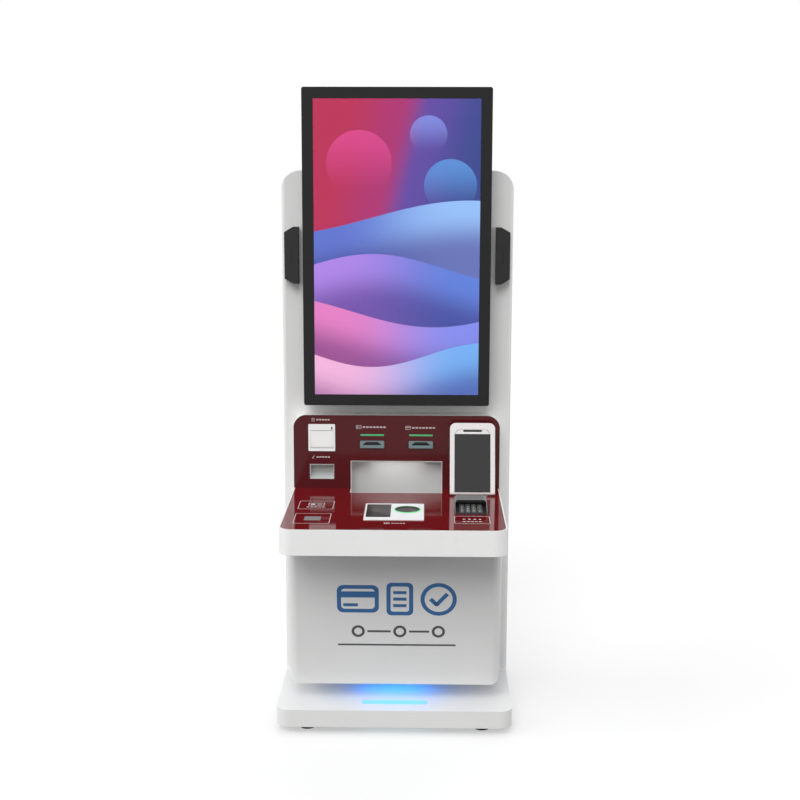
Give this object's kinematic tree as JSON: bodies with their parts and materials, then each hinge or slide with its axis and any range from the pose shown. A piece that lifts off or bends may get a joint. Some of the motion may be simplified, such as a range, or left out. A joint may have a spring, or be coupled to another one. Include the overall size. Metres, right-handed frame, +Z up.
{
  "type": "self-service kiosk",
  "caption": "Floor-standing self-service kiosk: portrait touch display on a column, red fascia with card and paper slots, counter with scanner, PIN pad and face terminal, cabinet below.",
  "frame": {"origin": "on the floor, at the middle of the overall width and depth", "axes": "+Z up, the user stands on the -Y side and looks along +Y, +X is the user's right"},
  "size_m": [0.752, 0.81, 2.027],
  "materials": {
    "white_paint": "satin",
    "white_metal": "satin",
    "foot_rubber": "matte",
    "ice_light": "lit",
    "steel": "satin",
    "bezel_black": "satin",
    "touch_glass": "polished",
    "screen": "lit picture",
    "speaker_black": "matte",
    "red_acrylic": "high gloss",
    "white_plastic": "satin",
    "warm_white_plastic": "gloss",
    "roller_rubber": "matte",
    "grey_plastic": "satin",
    "slate_plastic": "satin",
    "dark_plastic": "matte",
    "green_light": "lit",
    "black_glass": "polished",
    "dark_metal": "matte",
    "silver_metal": "satin",
    "key_metal": "brushed"
  },
  "bodies": {
    "frame": {"base_plinth": "white_paint", "levelling_feet": "foot_rubber", "light_bars": "ice_light", "column_shell": "white_paint", "rear_hinge_pins": "steel", "display_bezel": "bezel_black", "display_glass": "touch_glass", "display_panel": "screen", "display_rear_cover": "bezel_black", "speaker_pod_left": "speaker_black", "speaker_pod_right": "speaker_black", "speaker_drivers": "speaker_black", "fascia_housing": "white_paint", "fascia_panel": "red_acrylic", "receipt_printer": "white_plastic", "slip_outlet": "grey_plastic", "card_bezels": "slate_plastic", "card_readers": "dark_plastic", "card_lights": "green_light", "document_niche": "white_metal", "document_printer": "white_plastic", "counter_tray": "white_paint", "counter_top": "red_acrylic", "scanner_plate": "white_plastic", "scanner_glass": "black_glass", "scanner_ring": "green_light", "pinpad_body": "dark_metal", "pinpad_hood": "grey_plastic", "terminal_bracket": "silver_metal", "cabinet_shell": "white_paint", "computer": "dark_metal", "power_supply": "silver_metal", "fan_housing": "speaker_black", "screws": "steel"},
    "door": {"rear_door": "white_paint"},
    "lock": {"rear_lock": "steel"},
    "lid": {"receipt_lid": "white_plastic"},
    "roller": {"receipt_roller": "roller_rubber"},
    "release": {"receipt_release": "grey_plastic"},
    "cassette": {"paper_cassette": "dark_plastic"},
    "terminal": {"terminal_housing": "warm_white_plastic", "terminal_glass": "black_glass"},
    "rocker": {"power_switch": "speaker_black"},
    "rotor": {"fan_rotor": "speaker_black"},
    "key_1": {"pin_key_1": "key_metal"},
    "key_2": {"pin_key_2": "key_metal"},
    "key_3": {"pin_key_3": "key_metal"},
    "key_4": {"pin_key_4": "key_metal"},
    "key_5": {"pin_key_5": "key_metal"},
    "key_6": {"pin_key_6": "key_metal"},
    "key_7": {"pin_key_7": "key_metal"},
    "key_8": {"pin_key_8": "key_metal"},
    "key_9": {"pin_key_9": "key_metal"},
    "key_10": {"pin_key_10": "key_metal"},
    "key_11": {"pin_key_11": "key_metal"},
    "key_12": {"pin_key_12": "key_metal"},
    "key_13": {"pin_key_13": "key_metal"},
    "key_14": {"pin_key_14": "key_metal"},
    "key_15": {"pin_key_15": "key_metal"},
    "key_16": {"pin_key_16": "key_metal"}
  },
  "joints": [
    {"name": "door_hinge", "type": "hinge", "parent": "frame", "child": "door", "pos_m": [-0.306, 0.401, 0.63], "axis": [0, 0, 1], "range_deg": [0, 105]},
    {"name": "lock_turn", "type": "hinge", "parent": "door", "child": "lock", "pos_m": [0.279, 0.397, 0.63], "axis": [0, -1, 0], "range_deg": [0, 90]},
    {"name": "lid_hinge", "type": "hinge", "parent": "frame", "child": "lid", "pos_m": [-0.2456, 0.129, 0.8718], "axis": [1, 0, 0], "range_deg": [0, 75]},
    {"name": "roller_turn", "type": "hinge", "parent": "lid", "child": "roller", "pos_m": [-0.2456, 0.133, 0.9178], "axis": [1, 0, 0], "continuous": true},
    {"name": "release_press", "type": "slide", "parent": "frame", "child": "release", "axis": [0, 1, 0], "range_m": [0, 0.002], "stiffness_N_per_m": 800, "springref_m": -0.001},
    {"name": "cassette_slide", "type": "slide", "parent": "frame", "child": "cassette", "axis": [0, 1, 0], "range_m": [0, 0.15]},
    {"name": "terminal_tilt", "type": "hinge", "parent": "frame", "child": "terminal", "pos_m": [0.2474, 0.0304, 0.741], "axis": [1, 0, 0], "range_deg": [-5, 10]},
    {"name": "rocker_tip", "type": "hinge", "parent": "frame", "child": "rocker", "pos_m": [0.034, 0.391, 0.143], "axis": [-1, 0, 0], "range_deg": [0, 12]},
    {"name": "rotor_spin", "type": "hinge", "parent": "frame", "child": "rotor", "pos_m": [0, 0.385, 1.6], "axis": [0, 1, 0], "continuous": true},
    {"name": "key_1_press", "type": "slide", "parent": "frame", "child": "key_1", "axis": [0, 0.0872, -0.9962], "range_m": [0, 0.0018], "stiffness_N_per_m": 800, "springref_m": -0.001},
    {"name": "key_2_press", "type": "slide", "parent": "frame", "child": "key_2", "axis": [0, 0.0872, -0.9962], "range_m": [0, 0.0018], "stiffness_N_per_m": 800, "springref_m": -0.001},
    {"name": "key_3_press", "type": "slide", "parent": "frame", "child": "key_3", "axis": [0, 0.0872, -0.9962], "range_m": [0, 0.0018], "stiffness_N_per_m": 800, "springref_m": -0.001},
    {"name": "key_4_press", "type": "slide", "parent": "frame", "child": "key_4", "axis": [0, 0.0872, -0.9962], "range_m": [0, 0.0018], "stiffness_N_per_m": 800, "springref_m": -0.001},
    {"name": "key_5_press", "type": "slide", "parent": "frame", "child": "key_5", "axis": [0, 0.0872, -0.9962], "range_m": [0, 0.0018], "stiffness_N_per_m": 800, "springref_m": -0.001},
    {"name": "key_6_press", "type": "slide", "parent": "frame", "child": "key_6", "axis": [0, 0.0872, -0.9962], "range_m": [0, 0.0018], "stiffness_N_per_m": 800, "springref_m": -0.001},
    {"name": "key_7_press", "type": "slide", "parent": "frame", "child": "key_7", "axis": [0, 0.0872, -0.9962], "range_m": [0, 0.0018], "stiffness_N_per_m": 800, "springref_m": -0.001},
    {"name": "key_8_press", "type": "slide", "parent": "frame", "child": "key_8", "axis": [0, 0.0872, -0.9962], "range_m": [0, 0.0018], "stiffness_N_per_m": 800, "springref_m": -0.001},
    {"name": "key_9_press", "type": "slide", "parent": "frame", "child": "key_9", "axis": [0, 0.0872, -0.9962], "range_m": [0, 0.0018], "stiffness_N_per_m": 800, "springref_m": -0.001},
    {"name": "key_10_press", "type": "slide", "parent": "frame", "child": "key_10", "axis": [0, 0.0872, -0.9962], "range_m": [0, 0.0018], "stiffness_N_per_m": 800, "springref_m": -0.001},
    {"name": "key_11_press", "type": "slide", "parent": "frame", "child": "key_11", "axis": [0, 0.0872, -0.9962], "range_m": [0, 0.0018], "stiffness_N_per_m": 800, "springref_m": -0.001},
    {"name": "key_12_press", "type": "slide", "parent": "frame", "child": "key_12", "axis": [0, 0.0872, -0.9962], "range_m": [0, 0.0018], "stiffness_N_per_m": 800, "springref_m": -0.001},
    {"name": "key_13_press", "type": "slide", "parent": "frame", "child": "key_13", "axis": [0, 0.0872, -0.9962], "range_m": [0, 0.0018], "stiffness_N_per_m": 800, "springref_m": -0.001},
    {"name": "key_14_press", "type": "slide", "parent": "frame", "child": "key_14", "axis": [0, 0.0872, -0.9962], "range_m": [0, 0.0018], "stiffness_N_per_m": 800, "springref_m": -0.001},
    {"name": "key_15_press", "type": "slide", "parent": "frame", "child": "key_15", "axis": [0, 0.0872, -0.9962], "range_m": [0, 0.0018], "stiffness_N_per_m": 800, "springref_m": -0.001},
    {"name": "key_16_press", "type": "slide", "parent": "frame", "child": "key_16", "axis": [0, 0.0872, -0.9962], "range_m": [0, 0.0018], "stiffness_N_per_m": 800, "springref_m": -0.001}
  ]
}
